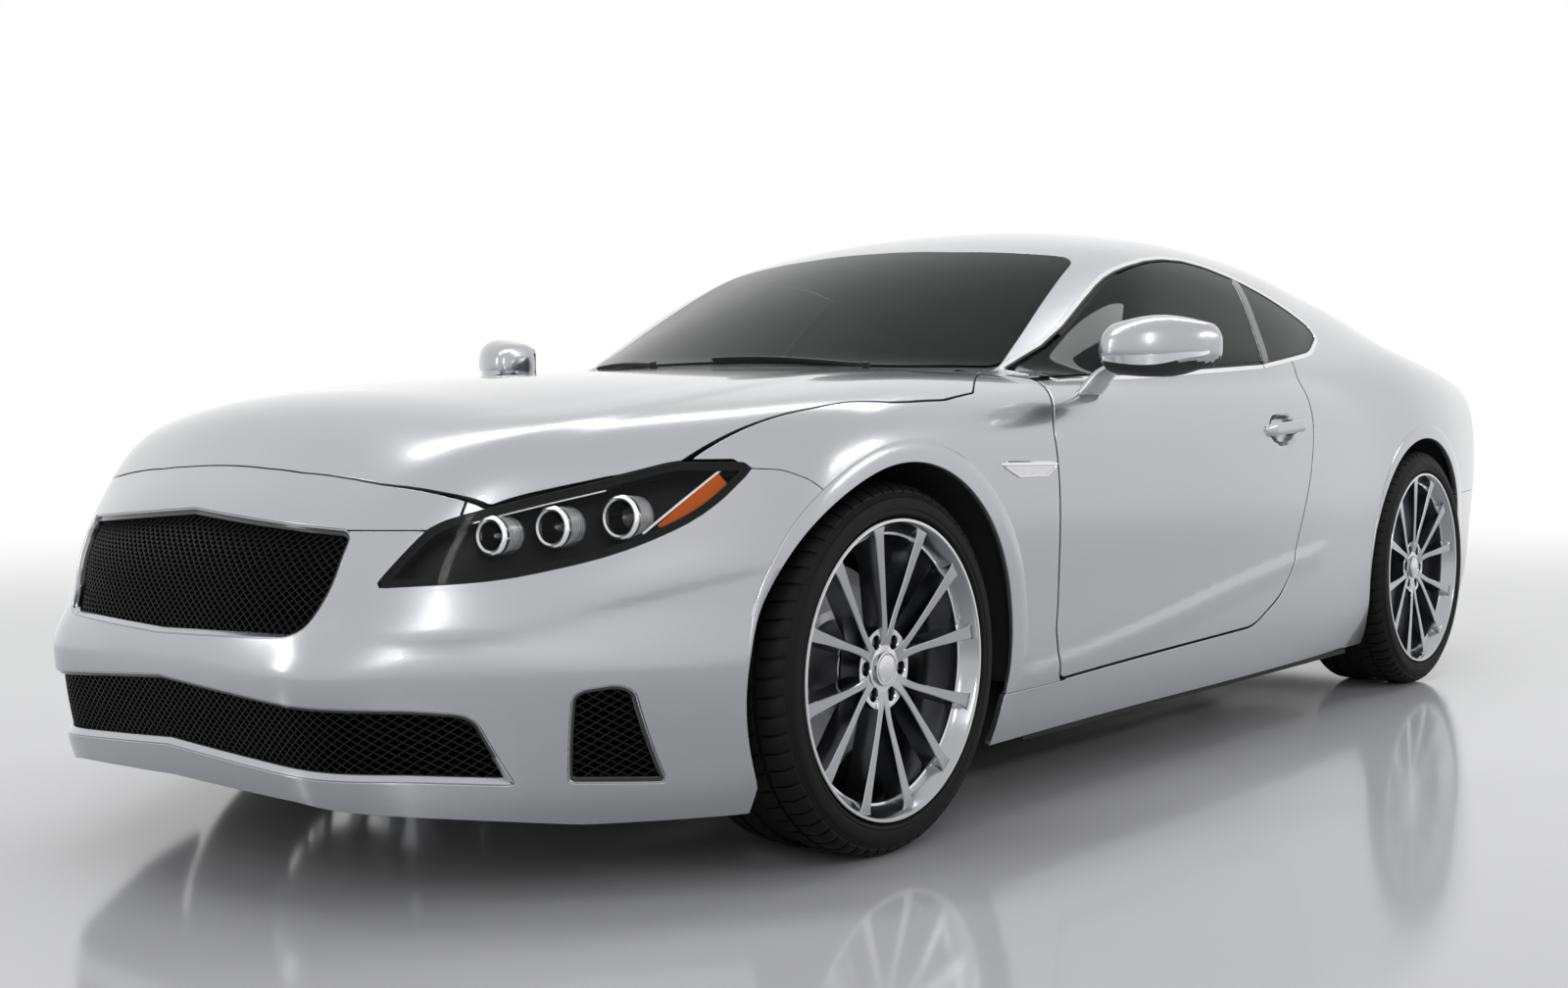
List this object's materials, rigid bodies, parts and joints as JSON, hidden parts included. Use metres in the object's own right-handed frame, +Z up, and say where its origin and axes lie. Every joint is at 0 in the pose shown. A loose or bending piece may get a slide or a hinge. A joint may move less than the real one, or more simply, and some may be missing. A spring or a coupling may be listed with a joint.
{
  "type": "coupe car",
  "caption": "Two-door grand touring coupe with opening doors, hood and boot lid, steered front wheels and a hollow cabin with seats.",
  "frame": {"origin": "on the ground under the middle of the car's overall length and width", "axes": "+X forwards, +Y to the car's left, +Z up"},
  "size_m": [4.8301, 2.268, 1.335],
  "materials": {
    "silver_paint": "metallic silver paint under clear coat",
    "black_trim": "grained black plastic",
    "tinted_glass": "dark tinted glass",
    "clear_lens": "clear moulded lens",
    "lamp_housing": "gloss black housing",
    "red_lens": "red moulded lens",
    "grille_black": "black mesh",
    "underbody": "dark underbody coat",
    "cast_alloy": "cast",
    "forged_steel": "forged",
    "exhaust_steel": "brushed",
    "seat_leather": "dark leather",
    "wheel_leather": "black leather",
    "tyre": "matt rubber",
    "rim_alloy": "polished and lacquered",
    "disc_steel": "turned"
  },
  "bodies": {
    "body": {"body_shell": "silver_paint", "front_fenders": "silver_paint", "nose_panel": "silver_paint", "front_bumper": "silver_paint", "rear_bumper": "silver_paint", "tail_corners": "silver_paint", "windscreen": "tinted_glass", "rear_window": "tinted_glass", "quarter_windows": "tinted_glass", "headlamp_lenses": "clear_lens", "headlamp_bowls": "lamp_housing", "tail_lamps": "red_lens", "grille_upper": "grille_black", "grille_lower": "grille_black", "scuttle": "black_trim", "wipers": "black_trim", "arch_liners": "black_trim", "dashboard": "black_trim", "floor_pan": "underbody", "front_frame": "underbody", "rear_subframe": "underbody", "engine_block": "cast_alloy", "front_suspension": "forged_steel", "rear_suspension": "forged_steel", "rear_hub_carriers": "forged_steel", "exhaust": "exhaust_steel", "front_seats": "seat_leather", "rear_seats": "seat_leather"},
    "hood_lid": {"hood": "silver_paint"},
    "boot": {"boot_lid": "silver_paint"},
    "door_left": {"door_left": "silver_paint", "door_glass_left": "tinted_glass", "mirror_left": "silver_paint"},
    "door_right": {"door_right": "silver_paint", "door_glass_right": "tinted_glass", "mirror_right": "silver_paint"},
    "steering_wheel": {"steering_wheel": "wheel_leather"},
    "knuckle_left": {"knuckle_front_left": "forged_steel"},
    "knuckle_right": {"knuckle_front_right": "forged_steel"},
    "wheel_front_left": {"tyre_front_left": "tyre", "rim_front_left": "rim_alloy", "disc_front_left": "disc_steel"},
    "wheel_front_right": {"tyre_front_right": "tyre", "rim_front_right": "rim_alloy", "disc_front_right": "disc_steel"},
    "wheel_rear_left": {"tyre_rear_left": "tyre", "rim_rear_left": "rim_alloy", "disc_rear_left": "disc_steel"},
    "wheel_rear_right": {"tyre_rear_right": "tyre", "rim_rear_right": "rim_alloy", "disc_rear_right": "disc_steel"}
  },
  "joints": [
    {"name": "wheel_spin_front_left", "type": "hinge", "parent": "knuckle_left", "child": "wheel_front_left", "pos_m": [1.435, 0.772, 0.351], "axis": [0, 1, 0], "continuous": true},
    {"name": "wheel_spin_front_right", "type": "hinge", "parent": "knuckle_right", "child": "wheel_front_right", "pos_m": [1.435, -0.772, 0.351], "axis": [0, 1, 0], "continuous": true},
    {"name": "wheel_spin_rear_left", "type": "hinge", "parent": "body", "child": "wheel_rear_left", "pos_m": [-1.315, 0.772, 0.351], "axis": [0, 1, 0], "continuous": true},
    {"name": "wheel_spin_rear_right", "type": "hinge", "parent": "body", "child": "wheel_rear_right", "pos_m": [-1.315, -0.772, 0.351], "axis": [0, 1, 0], "continuous": true},
    {"name": "steer_left", "type": "hinge", "parent": "body", "child": "knuckle_left", "pos_m": [1.435, 0.7, 0.351], "axis": [0, 0, 1], "range_deg": [-33, 33]},
    {"name": "steer_right", "type": "hinge", "parent": "body", "child": "knuckle_right", "pos_m": [1.435, -0.7, 0.351], "axis": [0, 0, 1], "range_deg": [-33, 33]},
    {"name": "steering_wheel_turn", "type": "hinge", "parent": "body", "child": "steering_wheel", "pos_m": [0.33, 0.37, 0.8], "axis": [-0.9135, 0, 0.4067], "range_deg": [-470, 470]},
    {"name": "door_left_swing", "type": "hinge", "parent": "body", "child": "door_left", "pos_m": [0.815, 0.879, 0.57], "axis": [0, 0, -1], "range_deg": [0, 65]},
    {"name": "door_right_swing", "type": "hinge", "parent": "body", "child": "door_right", "pos_m": [0.815, -0.879, 0.57], "axis": [0, 0, 1], "range_deg": [0, 65]},
    {"name": "hood_lift", "type": "hinge", "parent": "body", "child": "hood_lid", "pos_m": [0.772, 0, 0.903], "axis": [0, -1, 0], "range_deg": [0, 45]},
    {"name": "boot_lift", "type": "hinge", "parent": "body", "child": "boot", "pos_m": [-1.74, 0, 1], "axis": [0, 1, 0], "range_deg": [0, 60]}
  ],
  "couplings": [
    {"joint": "steer_right", "follows": "steer_left", "ratio": 1},
    {"joint": "steering_wheel_turn", "follows": "steer_left", "ratio": 14}
  ]
}
